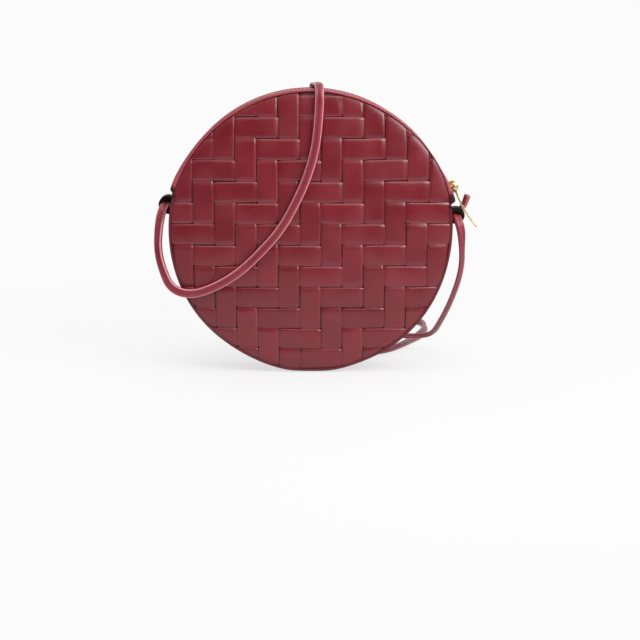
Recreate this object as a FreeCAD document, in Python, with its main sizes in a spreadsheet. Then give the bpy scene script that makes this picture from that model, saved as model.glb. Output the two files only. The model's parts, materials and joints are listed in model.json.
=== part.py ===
import FreeCAD
import Part
import Sketcher
import math
import os

# A round zip-top shoulder bag. Millimetres and degrees. +Z is up, the front faces -Y.
# The origin is on the floor under the middle of the bag.
# Pieces are drawn on the +Y side as rear pieces, and their front twins are the same shape turned round.

SIZES = {
    # the round body
    "outer_radius": 100.0,
    "foot_sag": 0.8,
    "gusset_depth": 34.0,
    "gusset_wall": 1.8,
    "panel_wall": 1.8,
    "panel_crown": 4.0,
    "panel_inset": 1.0,
    "seam_margin": 3.0,
    "stiffener_wall": 1.0,
    "lining_wall": 0.6,
    "layer_gap": 0.2,
    "rim_width": 2.2,
    "rim_wall": 1.2,
    "rim_inset": 0.3,
    # the zip band over the top
    "zip_roll": 2.5,
    "zip_half_angle": 75.5,
    "facing_proud": 1.8,
    "facing_wall": 1.2,
    "facing_lip": 2.5,
    "facing_lip_width": 4.0,
    "facing_overhang": 0.5,
    "facing_round": 1.0,
    "zip_gap": 10.4,
    "tape_wall": 0.6,
    "tape_margin": 1.8,
    "bead_setback": 1.1,
    "tooth_pitch": 2.9,
    "tooth_height": 2.2,
    "tooth_head_height": 1.5,
    "tooth_reach": 3.1,
    "tooth_bite": 0.7,
    "tooth_gap": 0.15,
    "tooth_shoulder": 0.5,
    "stop_length": 1.4,
    "stop_margin": 3.0,
    "end_tab_wall": 1.2,
    "end_tab_length": 5.6,
    # the slider and its pull
    "slider_length": 10.5,
    "slider_width": 9.2,
    "slider_nose_width": 6.8,
    "slider_tail_width": 7.4,
    "slider_shoulder": 5.5,
    "slider_plate": 1.2,
    "slider_lip": 0.8,
    "slider_clearance": 0.3,
    "wedge_width": 1.6,
    "wedge_heel_width": 0.64,
    "wedge_length": 4.2,
    "bridge_length": 9.0,
    "bridge_height": 7.2,
    "bridge_bar": 1.3,
    "bridge_bend": 3.4,
    "bridge_width": 1.8,
    "pull_length": 34.0,
    "pull_width": 6.0,
    "pull_tip_width": 3.4,
    "pull_end_width": 2.4,
    "pull_wall": 1.4,
    "pull_tip_wall": 1.0,
    "pull_bow": 84.0,
    "pull_window": 6.5,
    "pull_shoulder": 12.0,
    "pull_clearance": 0.3,
    "pull_bar_drop": 0.45,
    "pull_eye_ease": 0.07,
    # the strap loops and the strap
    "loop_gap": 0.3,
    "loop_reach": 9.5,
    "loop_height": 13.0,
    "loop_wall": 2.6,
    "loop_width": 12.0,
    "strap_diameter": 4.4,
    # the slip pocket inside
    "pocket_width": 110.0,
    "pocket_height": 75.0,
    "pocket_top": 25.0,
    "pocket_wall": 0.8,
    "binding_height": 6.0,
}

NODES = []

doc = FreeCAD.newDocument("circle_bag")
sheet = doc.addObject("Spreadsheet::Sheet", "Sizes")
for row, (alias, number) in enumerate(SIZES.items(), start=1):
    sheet.set("A%d" % row, alias)
    sheet.set("B%d" % row, str(number))
    sheet.setAlias("B%d" % row, alias)
doc.recompute()


class Size:
    """A number together with the sheet expression that it comes from."""

    def __init__(self, number, text):
        self.number = number
        self.text = text

    def join(self, other, sign, number):
        text = other.text if isinstance(other, Size) else repr(float(other))
        return Size(number, "(%s %s %s)" % (self.text, sign, text))

    def __add__(self, other):
        return self.join(other, "+", self.number + number_of(other))

    def __sub__(self, other):
        return self.join(other, "-", self.number - number_of(other))

    def __mul__(self, other):
        return self.join(other, "*", self.number * number_of(other))

    def __truediv__(self, other):
        return self.join(other, "/", self.number / number_of(other))

    def __neg__(self):
        return Size(-self.number, "(0 - %s)" % self.text)


def number_of(value):
    return value.number if isinstance(value, Size) else float(value)


def sine_of(angle):
    return Size(math.sin(math.radians(angle.number)), "sin(%s)" % angle.text)


def cosine_of(angle):
    return Size(math.cos(math.radians(angle.number)), "cos(%s)" % angle.text)


def angle_of(length, radius):
    """The angle that a length takes up on a circle."""
    return length / radius * math.degrees(1.0)


class Sheet:
    """The sheet's cells by name, each as a Size."""

    def __getattr__(self, alias):
        return Size(float(sheet.get(alias)), "Sizes." + alias)


at = Sheet()
ZERO = Size(0.0, "0")

# Values that several pieces share
zip_middle = Size(90.0, "90") - at.zip_roll
centre_height = at.outer_radius - at.foot_sag
middle = FreeCAD.Vector(0, 0, centre_height.number)

gusset_half = at.gusset_depth / 2
panel_radius = at.outer_radius - at.panel_inset
dome_radius = panel_radius - at.seam_margin
panel_back = gusset_half + at.layer_gap
panel_face = panel_back + at.panel_wall
inner_radius = at.outer_radius - at.gusset_wall - at.layer_gap
stiffener_back = panel_back - at.layer_gap - at.stiffener_wall
lining_back = stiffener_back - at.layer_gap - at.lining_wall
pocket_back = lining_back - at.layer_gap - at.pocket_wall
binding_back = pocket_back - at.layer_gap - at.pocket_wall
rim_radius = at.outer_radius - at.rim_inset

facing_outer = at.outer_radius + at.facing_proud
facing_inner = facing_outer - at.facing_wall
facing_edge = at.zip_gap / 2
facing_front = panel_face + at.facing_overhang
lip_inner = facing_outer - at.facing_lip
lip_back = facing_front - at.facing_lip_width
tape_outer = facing_inner - at.layer_gap
tape_inner = tape_outer - at.tape_wall
tape_middle = tape_outer - at.tape_wall / 2
tooth_top = tape_middle + at.tooth_height / 2
tooth_bottom = tape_middle - at.tooth_height / 2
slot_half = at.tape_wall / 2 + at.layer_gap / 2
slot_end = at.bead_setback - at.layer_gap / 2

plate_bottom = tooth_top + at.slider_clearance
plate_top = plate_bottom + at.slider_plate
base_top = tooth_bottom - at.slider_clearance
bridge_top = plate_top + at.bridge_height
pivot_radius = bridge_top - at.bridge_bar - at.pull_clearance - at.pull_wall / 2
slider_half = at.slider_length / 2
stop_angle = at.zip_half_angle - angle_of(at.stop_margin, tape_middle)
stop_reach = at.stop_length / 2 + at.slider_clearance
slider_angle = stop_angle - angle_of(slider_half + stop_reach, tape_middle)
tab_start = stop_angle + angle_of(stop_reach, tape_middle)
tab_end = tab_start + angle_of(at.end_tab_length, tape_middle)
loop_angle = tab_end + angle_of(at.loop_gap + at.loop_height / 2, at.outer_radius)
eye_radius = at.outer_radius + at.loop_reach - at.loop_height / 2


def spun(angle, flipped=False):
    """The placement of a piece drawn on +X, carried round the bag's axis to an angle from +X to +Z."""
    turn = FreeCAD.Rotation(FreeCAD.Vector(0, 1, 0), -number_of(angle))
    if flipped:
        turn = turn * FreeCAD.Rotation(FreeCAD.Vector(1, 0, 0), 180)
    return FreeCAD.Placement(middle, turn)


def faced(front):
    """The placement of an upright piece drawn on the +Y side, turned to the front if asked."""
    return FreeCAD.Placement(middle, FreeCAD.Rotation(FreeCAD.Vector(0, 0, 1), 180 if front else 0))


def bind(feature, path, value):
    """Ties one property to its sheet expression."""
    feature.setExpression(path, value.text)


def keep(feature, node, placement=None):
    """Names a finished sub-part, which is written to a file of that name, and puts it in its place."""
    feature.Label = node
    if placement is not None:
        feature.Placement = placement
    NODES.append(feature)


def new_body(name):
    return doc.addObject("PartDesign::Body", name + "_body")


def origin_of(body, role):
    return [item for item in body.Origin.OriginFeatures if item.Role == role][0]


def new_sketch(body, plane, offset=None):
    """A sketch on one of the body's own origin planes, moved along the plane's normal by offset."""
    sketch = body.newObject("Sketcher::SketchObject", body.Name + "_sketch")
    sketch.AttachmentSupport = [(origin_of(body, plane), "")]
    sketch.MapMode = "FlatFace"
    if offset is not None:
        bind(sketch, "AttachmentOffset.Base.z", offset)
    return sketch


def outline(sketch, points, bows=None):
    """A closed outline through points, each a pair of Sizes.

    bows holds the radius of each side that is an arc, by the side's number. The arc bulges to the
    right of the side's direction, or to its left where the radius is negative.
    """
    bows = bows or {}
    count = len(points)
    first = sketch.GeometryCount
    spots = [FreeCAD.Vector(number_of(x), number_of(y), 0) for x, y in points]
    reversed_sides = [side for side, radius in bows.items() if number_of(radius) < 0]
    for side in range(count):
        start = spots[side]
        end = spots[(side + 1) % count]
        if side not in bows:
            sketch.addGeometry(Part.LineSegment(start, end), False)
            continue
        radius = abs(number_of(bows[side]))
        along = end - start
        rise = radius - math.sqrt(max(radius * radius - along.Length * along.Length / 4, 0.0))
        right = FreeCAD.Vector(along.y, -along.x, 0).normalize()
        bulge = right * (-rise if side in reversed_sides else rise)
        sketch.addGeometry(Part.Arc(start, (start + end) * 0.5 + bulge, end), False)
    for side in range(count):
        following = (side + 1) % count
        tail = 1 if side in reversed_sides else 2
        head = 2 if following in reversed_sides else 1
        sketch.addConstraint(Sketcher.Constraint("Coincident", first + side, tail, first + following, head))
    for side, point in enumerate(points):
        head = 2 if side in reversed_sides else 1
        for kind, value in zip(("DistanceX", "DistanceY"), point):
            rule = Sketcher.Constraint(kind, -1, 1, first + side, head, number_of(value))
            bind(sketch, "Constraints[%d]" % sketch.addConstraint(rule), value)
    for side, radius in bows.items():
        size = -radius if side in reversed_sides else radius
        rule = Sketcher.Constraint("Radius", first + side, number_of(size))
        bind(sketch, "Constraints[%d]" % sketch.addConstraint(rule), size)


def rectangle(sketch, low_x, high_x, low_y, high_y):
    outline(sketch, [(low_x, low_y), (high_x, low_y), (high_x, high_y), (low_x, high_y)])


def pad(body, sketch, length, symmetric=False):
    feature = body.newObject("PartDesign::Pad", body.Name + "_pad")
    feature.Profile = sketch
    if symmetric:
        feature.SideType = "Symmetric"
    bind(feature, "Length", length)
    return feature


def revolve(body, sketch, angle=None):
    """Revolves about the bag's axis, all the way round or by an angle centred on the sketch."""
    feature = body.newObject("PartDesign::Revolution", body.Name + "_revolution")
    feature.Profile = sketch
    feature.ReferenceAxis = (sketch, ["V_Axis"])
    feature.Angle = 360.0
    if angle is not None:
        feature.Midplane = True
        bind(feature, "Angle", angle)


def cut_through(body, sketch):
    feature = body.newObject("PartDesign::Pocket", body.Name + "_pocket")
    feature.Profile = sketch
    feature.SideType = "Symmetric"
    feature.Type = "ThroughAll"


def boolean(kind, name, base, tool):
    feature = doc.addObject(kind, name)
    feature.Base = base
    feature.Tool = tool
    return feature


def box_at(name, corner, length, width, height):
    box = doc.addObject("Part::Box", name)
    bind(box, "Length", length)
    bind(box, "Width", width)
    bind(box, "Height", height)
    box.Placement.Base = FreeCAD.Vector(*[number_of(value) for value in corner])
    return box


def band(name, inner, outer, low_y, high_y, half_angle):
    """A strip of rectangular section bent round the bag's axis, its middle on +X."""
    body = new_body(name)
    sketch = new_sketch(body, "XY_Plane")
    rectangle(sketch, inner, outer, low_y, high_y)
    revolve(body, sketch, half_angle * 2)
    return body


def dome(name, radius, back, wall):
    """A disc with a flat margin and a shallow dome, cut straight along the foot."""
    body = new_body(name)
    sketch = new_sketch(body, "XY_Plane")
    bow = (dome_radius * dome_radius + at.panel_crown * at.panel_crown) / (at.panel_crown * 2)
    front = back + wall
    points = [(ZERO, back + at.panel_crown), (dome_radius, back), (radius, back), (radius, front),
              (dome_radius, front), (ZERO, front + at.panel_crown)]
    outline(sketch, points, {0: -bow, 4: bow})
    revolve(body, sketch)
    flat = new_sketch(body, "XZ_Plane")
    foot = at.outer_radius - radius - centre_height
    rectangle(flat, -at.outer_radius, at.outer_radius, -at.outer_radius * 2, foot)
    cut_through(body, flat)
    return body


def drum(name, radius, low_y, depth):
    """A round drum on the bag's axis with a flat foot, inset alike from the outer profile all round."""
    cylinder = doc.addObject("Part::Cylinder", name + "_round")
    bind(cylinder, "Radius", radius)
    bind(cylinder, "Height", depth)
    along_y = FreeCAD.Rotation(FreeCAD.Vector(1, 0, 0), -90)
    cylinder.Placement = FreeCAD.Placement(middle + FreeCAD.Vector(0, low_y.number, 0), along_y)
    corner = (-at.outer_radius, low_y, at.outer_radius - radius)
    block = box_at(name + "_block", corner, at.outer_radius * 2, depth, at.outer_radius * 2)
    return boolean("Part::Common", name + "_drum", cylinder, block)


def lower_strip(name, outer, wall, low_y, depth):
    """A strip round the sides and the foot, open over the zip."""
    hollow = drum(name + "_inside", outer - wall, low_y, depth)
    ring = boolean("Part::Cut", name + "_ring", drum(name + "_outside", outer, low_y, depth), hollow)
    half_angle = at.zip_half_angle + angle_of(at.layer_gap, at.outer_radius)
    sector = doc.addObject("Part::Cylinder", name + "_sector")
    bind(sector, "Radius", at.outer_radius * 2)
    bind(sector, "Height", at.gusset_depth * 2)
    bind(sector, "Angle", half_angle * 2)
    sector.Placement = spun(zip_middle + half_angle)
    sector.Placement = sector.Placement * FreeCAD.Placement(
        FreeCAD.Vector(0, -at.gusset_depth.number, 0), FreeCAD.Rotation(FreeCAD.Vector(1, 0, 0), -90))
    return boolean("Part::Cut", name + "_strip", ring, sector)


def make_panels():
    layers = [("panel", panel_radius, panel_back, at.panel_wall),
              ("stiffener", inner_radius, stiffener_back, at.stiffener_wall),
              ("lining", inner_radius, lining_back, at.lining_wall)]
    for layer, radius, back, wall in layers:
        for side in ("front", "rear"):
            node = "%s_%s" % (side, layer)
            keep(dome(node, radius, back, wall), node, faced(side == "front"))


def make_gusset():
    strip = lower_strip("lower_gusset", at.outer_radius, at.gusset_wall, -gusset_half, at.gusset_depth)
    keep(strip, "lower_gusset")
    lining_half = lining_back - at.layer_gap
    strip = lower_strip("gusset_lining", inner_radius, at.lining_wall, -lining_half, lining_half * 2)
    keep(strip, "gusset_lining")
    rim_back = panel_face + at.layer_gap
    for node, low_y in (("rear_rim", rim_back), ("front_rim", -rim_back - at.rim_wall)):
        keep(lower_strip(node, rim_radius, at.rim_width, low_y, at.rim_wall), node)


def make_facings():
    """The raised leather strips beside the zip, each with a rolled lip over the panel's edge."""
    for side in ("front", "rear"):
        node = side + "_zip_facing"
        body = new_body(node)
        sketch = new_sketch(body, "XY_Plane")
        points = [(facing_inner, facing_edge), (facing_outer, facing_edge),
                  (facing_outer, facing_front - at.facing_round),
                  (facing_outer - at.facing_round, facing_front),
                  (lip_inner, facing_front), (lip_inner, lip_back), (facing_inner, lip_back)]
        outline(sketch, points, {2: at.facing_round})
        revolve(body, sketch, at.zip_half_angle * 2)
        keep(body, node, spun(zip_middle, side == "front"))


def make_tapes():
    lining_outer = tape_inner - at.layer_gap
    for side in ("front", "rear"):
        placement = spun(zip_middle, side == "front")
        tape = band(side + "_zip_tape", tape_inner, tape_outer, at.bead_setback,
                    lip_back - at.tape_margin, at.zip_half_angle)
        keep(tape, side + "_zip_tape", placement)
        lining = band(side + "_zip_lining", lining_outer - at.lining_wall, lining_outer,
                      facing_edge + at.layer_gap, lining_back - at.layer_gap, at.zip_half_angle)
        keep(lining, side + "_zip_lining", placement)


def clamp_outline(sketch, head, head_height):
    """A tooth seen along the zip: two legs that pinch the tape's edge, and a head that narrows past it."""
    legs = at.tooth_height / 2
    tip = head_height / 2
    outline(sketch, [(tape_middle - legs, at.tooth_reach), (tape_middle - legs, at.tooth_shoulder),
                     (tape_middle - tip, head), (tape_middle + tip, head),
                     (tape_middle + legs, at.tooth_shoulder), (tape_middle + legs, at.tooth_reach),
                     (tape_middle + slot_half, at.tooth_reach), (tape_middle + slot_half, slot_end),
                     (tape_middle - slot_half, slot_end), (tape_middle - slot_half, at.tooth_reach)])


def make_teeth():
    """Two rows of teeth, half a pitch apart, from the slider's wedge to the bottom stop."""
    pitch_angle = angle_of(at.tooth_pitch, tape_middle)
    last = stop_angle - angle_of(at.stop_length / 2 + at.tooth_pitch / 2, tape_middle)
    pitches = int((slider_angle.number + last.number) / pitch_angle.number)
    rows = {"rear_zip_teeth": (pitches + 1, 0.0, False), "front_zip_teeth": (pitches, 0.5, True)}
    for node, (count, shift, flipped) in rows.items():
        body = new_body(node)
        sketch = new_sketch(body, "XY_Plane")
        clamp_outline(sketch, -at.tooth_bite, at.tooth_head_height)
        tooth = pad(body, sketch, at.tooth_pitch / 2 - at.tooth_gap, symmetric=True)
        row_of_teeth = body.newObject("PartDesign::PolarPattern", body.Name + "_row")
        row_of_teeth.Originals = [tooth]
        row_of_teeth.Axis = (origin_of(body, "Y_Axis"), [""])
        row_of_teeth.Occurrences = count
        row_of_teeth.Reversed = not flipped
        bind(row_of_teeth, "Angle", pitch_angle * (count - 1))
        body.Tip = row_of_teeth
        keep(body, node, spun(zip_middle - slider_angle + pitch_angle * shift, flipped))


def make_stops():
    """Two crimped stops that the slider meets when it is shut, and one across both tapes at the far end."""
    pair = []
    for flipped in (False, True):
        body = new_body("zip_top_stop")
        sketch = new_sketch(body, "XY_Plane")
        clamp_outline(sketch, at.layer_gap, at.tooth_height)
        pad(body, sketch, at.stop_length, symmetric=True)
        body.Placement = spun(zip_middle - stop_angle, flipped)
        pair.append(body)
    stops = doc.addObject("Part::Compound", "zip_top_stops_pair")
    stops.Links = pair
    keep(stops, "zip_top_stops")
    body = new_body("zip_bottom_stop")
    sketch = new_sketch(body, "XY_Plane")
    legs = at.tooth_height / 2
    rear = [(tape_middle + legs, at.tooth_reach), (tape_middle + slot_half, at.tooth_reach),
            (tape_middle + slot_half, slot_end), (tape_middle - slot_half, slot_end),
            (tape_middle - slot_half, at.tooth_reach), (tape_middle - legs, at.tooth_reach)]
    outline(sketch, rear + [(x, -y) for x, y in reversed(rear)])
    pad(body, sketch, at.stop_length, symmetric=True)
    keep(body, "zip_bottom_stop", spun(zip_middle + stop_angle))


def make_end_tabs():
    """Leather tabs that cover the tape ends and the join with the gusset."""
    half_angle = angle_of(at.end_tab_length, tape_middle) / 2
    inner = tape_outer + at.layer_gap
    half_width = facing_edge - at.layer_gap * 2
    for side, sign in (("left", 1.0), ("right", -1.0)):
        body = band(side + "_end_tab", inner, inner + at.end_tab_wall, -half_width, half_width, half_angle)
        keep(body, side + "_end_tab", spun(zip_middle + (tab_start + half_angle) * sign))


def make_loops():
    """Folded strap loops: two legs on the gusset and a round bend, with the eye along Y."""
    outside = at.loop_height / 2
    inside = outside - at.loop_wall
    foot = at.outer_radius + at.layer_gap
    for side, sign in (("left", 1.0), ("right", -1.0)):
        node = side + "_strap_loop"
        body = new_body(node)
        sketch = new_sketch(body, "XZ_Plane")
        points = [(foot, -outside), (eye_radius, -outside), (eye_radius + outside, ZERO),
                  (eye_radius, outside), (foot, outside), (foot, inside), (eye_radius, inside),
                  (eye_radius + inside, ZERO), (eye_radius, -inside), (foot, -inside)]
        outline(sketch, points, {1: outside, 2: outside, 6: -inside, 7: -inside})
        pad(body, sketch, at.loop_width, symmetric=True)
        keep(body, node, spun(zip_middle + loop_angle * sign))


def plate_outline(sketch):
    """The slider's plate from above: a blunt nose, full shoulders and a narrower tail."""
    nose = at.slider_nose_width / 2
    side = at.slider_width / 2
    tail = at.slider_tail_width / 2
    shoulder = at.slider_shoulder / 2
    outline(sketch, [(-nose, -slider_half), (nose, -slider_half), (side, -shoulder), (side, shoulder),
                     (tail, slider_half), (-tail, slider_half), (-side, shoulder), (-side, -shoulder)])


def make_slider():
    """The slider's casting: two plates joined by the wedge, lips beside the tapes, and the bridge on top,
    a rounded lug with a bore for the pull's cross bar."""
    body = new_body("zip_slider")
    sketch = new_sketch(body, "YZ_Plane", plate_bottom)
    plate_outline(sketch)
    pad(body, sketch, at.slider_plate)
    wedge = new_sketch(body, "YZ_Plane", base_top)
    front = at.wedge_width / 2
    back = at.wedge_heel_width / 2
    heel = at.wedge_length - slider_half
    outline(wedge, [(-front, -slider_half), (front, -slider_half), (back, heel), (-back, heel)])
    pad(body, wedge, plate_bottom - base_top)
    sketch = new_sketch(body, "YZ_Plane", base_top - at.slider_plate)
    plate_outline(sketch)
    pad(body, sketch, at.slider_plate)
    side = at.slider_width / 2
    shoulder = at.slider_shoulder / 2
    over_tape = tape_outer + at.slider_clearance
    under_tape = tape_inner - at.slider_clearance
    for low, high in ((over_tape, plate_bottom), (base_top, under_tape)):
        lips = new_sketch(body, "YZ_Plane", low)
        rectangle(lips, side - at.slider_lip, side, -shoulder, shoulder)
        rectangle(lips, -side, -side + at.slider_lip, -shoulder, shoulder)
        pad(body, lips, high - low)
    arch = new_sketch(body, "XZ_Plane")
    reach = at.bridge_length / 2
    bend = at.bridge_bend
    root = plate_top - at.slider_plate / 2
    spring = bridge_top - bend
    outline(arch, [(root, -reach), (spring, -reach), (bridge_top, -reach + bend),
                   (bridge_top, reach - bend), (spring, reach), (root, reach)], {1: bend, 3: bend})
    bore = at.pull_clearance + at.pull_wall / 2
    outline(arch, [(pivot_radius, -bore), (pivot_radius + bore, ZERO), (pivot_radius, bore),
                   (pivot_radius - bore, ZERO)], {0: bore, 1: bore, 2: bore, 3: bore})
    pad(body, arch, at.bridge_width, symmetric=True)
    keep(body, "zip_slider", spun(zip_middle - slider_angle))


def make_pull():
    """A bowed blade that hangs from a cross bar in the bridge's bore, with a window for the bridge."""
    body = new_body("zip_pull")
    side_view = new_sketch(body, "XZ_Plane")
    sweep = angle_of(at.pull_length, at.pull_bow)
    tip_x = at.pull_bow * (-cosine_of(sweep) + 1)
    tip_z = -(at.pull_bow * sine_of(sweep))
    half = at.pull_wall / 2
    tip_half = at.pull_tip_wall / 2
    across = cosine_of(sweep) * tip_half
    along = sine_of(sweep) * tip_half
    points = [(-half, ZERO), (tip_x - across, tip_z - along), (tip_x + across, tip_z + along), (half, ZERO)]
    outline(side_view, points, {0: at.pull_bow, 2: -at.pull_bow, 3: half + at.pull_eye_ease})
    pad(body, side_view, at.pull_width, symmetric=True)
    plan = new_sketch(body, "YZ_Plane")
    edge = at.pull_width / 2
    tip_edge = at.pull_tip_width / 2
    end_edge = at.pull_end_width / 2
    clear = edge + at.pull_width
    far = tip_z - at.pull_width
    for sign in (1.0, -1.0):
        outline(plan, [(clear * sign, -at.pull_shoulder), (edge * sign, -at.pull_shoulder),
                       (tip_edge * sign, tip_z + tip_edge), (end_edge * sign, tip_z),
                       (end_edge * sign, far), (clear * sign, far)])
    cut_through(body, plan)
    window = new_sketch(body, "YZ_Plane")
    slot = at.bridge_width / 2 + at.pull_clearance
    rectangle(window, -slot, slot, -at.pull_window, -at.pull_bar_drop)
    cut_through(body, window)
    carrier = spun(zip_middle - slider_angle)
    pivot = carrier.multVec(FreeCAD.Vector(pivot_radius.number, 0, 0))
    keep(body, "zip_pull", FreeCAD.Placement(pivot, carrier.Rotation))
    print("pull pivot", [round(value, 3) for value in pivot])


def make_pocket():
    """A slip pocket sewn flat on the rear lining, with a binding along its mouth."""
    layers = [("inner_pocket", pocket_back, at.pocket_height),
              ("pocket_binding", binding_back, at.binding_height)]
    for node, back, height in layers:
        layer = dome(node, inner_radius, back, at.pocket_wall)
        layer.Placement = faced(False)
        corner = (-at.pocket_width / 2, ZERO, centre_height + at.pocket_top - height)
        patch = box_at(node + "_patch", corner, at.pocket_width, at.gusset_depth, height)
        keep(boolean("Part::Common", node + "_cut", layer, patch), node)


# The strap's route, from the cut end behind the right loop to the end inside the left loop.
# Each stretch ends half way along the run to the next stretch's first point.
STRAP_ROUTE = {
    "strap_right_drop": [
        (113.9, 10.0, 123.6), (109.6, 11.0, 114.4), (103.0, 9.5, 111.4), (103.0, -9.5, 109.2),
        (106.8, -11.4, 100.6), (108.2, -8.0, 86.0), (108.0, -2.5, 75.3), (106.5, 6.0, 62.8),
        (104.1, 16.0, 50.4), (100.9, 29.0, 37.1), (96.4, 44.0, 23.4), (92.4, 58.0, 12.8),
        (80.5, 66.0, 9.6),
    ],
    "strap_floor_loop": [
        (64.0, 69.5, 10.0), (48.0, 74.0, 6.4), (29.0, 81.5, 2.5), (4.0, 92.0, 2.5),
        (-23.0, 99.0, 2.5), (-50.0, 104.5, 2.5), (-70.5, 119.5, 2.5), (-77.5, 142.0, 2.5),
        (-65.0, 162.5, 2.5), (-41.0, 171.5, 2.5), (-13.0, 173.0, 2.5), (15.0, 177.0, 2.5),
        (43.0, 180.5, 2.5), (68.0, 179.5, 2.5), (87.0, 168.5, 2.5), (92.6, 147.0, 2.5),
        (90.6, 124.0, 2.5), (84.4, 102.0, 2.5), (75.6, 82.0, 2.5), (67.2, 64.0, 2.5),
        (58.0, 48.0, 2.5), (44.5, 38.0, 2.5),
    ],
    "strap_back_rise": [
        (29.5, 33.0, 3.6), (17.0, 30.0, 11.0), (10.4, 27.4, 25.0), (9.0, 26.2, 45.0),
        (8.4, 26.4, 72.0), (7.8, 26.6, 104.0), (6.6, 26.0, 136.0),
    ],
    "strap_over_top": [
        (4.8, 24.6, 164.0), (3.4, 23.4, 186.0), (2.8, 23.0, 200.3), (3.4, 17.0, 203.9),
        (4.4, 8.0, 203.4), (5.6, -8.0, 203.4), (6.3, -17.0, 203.9), (6.8, -23.0, 200.3),
        (6.5, -23.4, 185.7), (4.4, -24.0, 162.8),
    ],
    "strap_front_drape": [
        (-0.7, -25.0, 143.2), (-8.7, -25.8, 124.4), (-19.9, -26.2, 103.9), (-33.1, -26.2, 88.8),
        (-49.5, -25.7, 72.9), (-66.6, -24.6, 62.3), (-84.1, -23.6, 56.3), (-98.7, -23.0, 60.7),
        (-105.1, -20.6, 76.7), (-107.6, -17.8, 88.8), (-107.2, -15.4, 101.0), (-105.8, -13.4, 111.5),
        (-103.0, -11.6, 119.2), (-101.2, 7.5, 119.4),
    ],
}
ARC_SHARE = 0.45


def rounded_corner(before, corner, after):
    """The arc that rounds a corner of the route: its two ends, its middle and its radius."""
    back = before - corner
    ahead = after - corner
    reach = ARC_SHARE * min(back.Length, ahead.Length)
    back.normalize()
    ahead.normalize()
    half_turn = (math.pi - back.getAngle(ahead)) / 2
    radius = reach / math.tan(half_turn)
    inward = (back + ahead).normalize()
    nearest = corner + inward * (radius / math.cos(half_turn) - radius)
    return corner + back * reach, nearest, corner + ahead * reach, radius


def make_strap():
    """The strap as round tubes along straight runs and tangent arcs, end to end."""
    radius = at.strap_diameter.number / 2
    route = [FreeCAD.Vector(*point) for points in STRAP_ROUTE.values() for point in points]
    corners = {}
    for place in range(1, len(route) - 1):
        corners[place] = rounded_corner(route[place - 1], route[place], route[place + 1])
    total = 0.0
    first = 0
    here = route[0]
    for node, points in STRAP_ROUTE.items():
        beyond = first + len(points)
        finish = route[-1] if beyond == len(route) else (route[beyond - 1] + route[beyond]) * 0.5
        section = Part.Wire(Part.makeCircle(radius, here, route[max(first, 1)] - here))
        edges = []
        radii = []
        for place in range(max(first, 1), min(beyond, len(route) - 1)):
            start, nearest, end, bend = corners[place]
            edges.append(Part.LineSegment(here, start).toShape())
            edges.append(Part.Arc(start, nearest, end).toShape())
            radii.append(round(bend, 1))
            here = end
        edges.append(Part.LineSegment(here, finish).toShape())
        path = Part.Wire(edges)
        stretch = doc.addObject("Part::Feature", node)
        stretch.Shape = path.makePipeShell([section], True, False)
        stretch.Placement = FreeCAD.Placement()
        keep(stretch, node)
        total += path.Length
        share = stretch.Shape.Volume / (math.pi * radius * radius * path.Length)
        print(node, "length", round(path.Length, 1), "volume share", round(share, 4), "radii", radii)
        first = beyond
        here = finish
    print("strap length", round(total, 1))


make_panels()
make_gusset()
make_facings()
make_tapes()
make_teeth()
make_stops()
make_end_tabs()
make_loops()
make_slider()
make_pull()
make_pocket()
make_strap()
doc.recompute()

for feature in doc.Objects:
    if "Invalid" in feature.State or "Error" in feature.State:
        raise RuntimeError("%s failed: %s" % (feature.Label, feature.State))
os.makedirs("parts", exist_ok=True)
for feature in NODES:
    if feature.Shape.isNull() or not feature.Shape.isValid():
        raise RuntimeError("%s has no valid shape" % feature.Label)
    feature.Shape.exportStep("parts/%s.step" % feature.Label)
    print("%-20s solids %3d volume %9.1f" % (feature.Label, len(feature.Shape.Solids), feature.Shape.Volume))
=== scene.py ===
# %% [markdown]
# A round shoulder bag, dressed
# The imported model gives every piece its place and size. This lesson builds the look around it: woven
# leather panels, rolled edges, a stitched strap, a metal zip. Lengths are in metres, +Z is up and the
# front of the bag faces -Y. The frame is loaded first, and the boxes of its nodes give the measures.

# %% Load the frame
import json

import bmesh
import bpy
import numpy as np
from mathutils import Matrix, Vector


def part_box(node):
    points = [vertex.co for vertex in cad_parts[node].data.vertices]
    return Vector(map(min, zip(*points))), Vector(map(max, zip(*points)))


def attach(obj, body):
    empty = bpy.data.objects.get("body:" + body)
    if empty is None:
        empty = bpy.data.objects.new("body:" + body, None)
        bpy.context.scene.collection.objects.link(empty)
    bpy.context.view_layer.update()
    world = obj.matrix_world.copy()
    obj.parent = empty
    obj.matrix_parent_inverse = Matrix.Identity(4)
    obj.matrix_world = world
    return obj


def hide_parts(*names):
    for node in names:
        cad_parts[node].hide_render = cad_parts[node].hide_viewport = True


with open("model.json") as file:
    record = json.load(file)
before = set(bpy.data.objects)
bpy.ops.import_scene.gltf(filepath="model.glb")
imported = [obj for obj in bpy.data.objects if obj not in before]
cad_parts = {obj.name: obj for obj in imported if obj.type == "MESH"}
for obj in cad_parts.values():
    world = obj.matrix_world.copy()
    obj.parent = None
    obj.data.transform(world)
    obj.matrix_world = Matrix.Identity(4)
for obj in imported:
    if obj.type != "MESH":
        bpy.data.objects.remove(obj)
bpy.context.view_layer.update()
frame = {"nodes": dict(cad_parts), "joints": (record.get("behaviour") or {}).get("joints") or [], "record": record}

# %% [markdown]
# Nearly everything on this bag goes round one axis, the one that the zip slider runs round. So the few
# measures below are read from the frame: the axis height, the radius of the round body, and how far
# the panels and the zip's facings stand from the middle plane. Only the two angles between which the
# facings run are written out, because a box can't tell them.

# %% Measures from the frame
MM = 0.001


def pivot_of(name):
    """The place of the frame's joint of that name."""
    return np.array(next(joint["pos_m"] for joint in frame["joints"] if joint["name"] == name))


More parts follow.
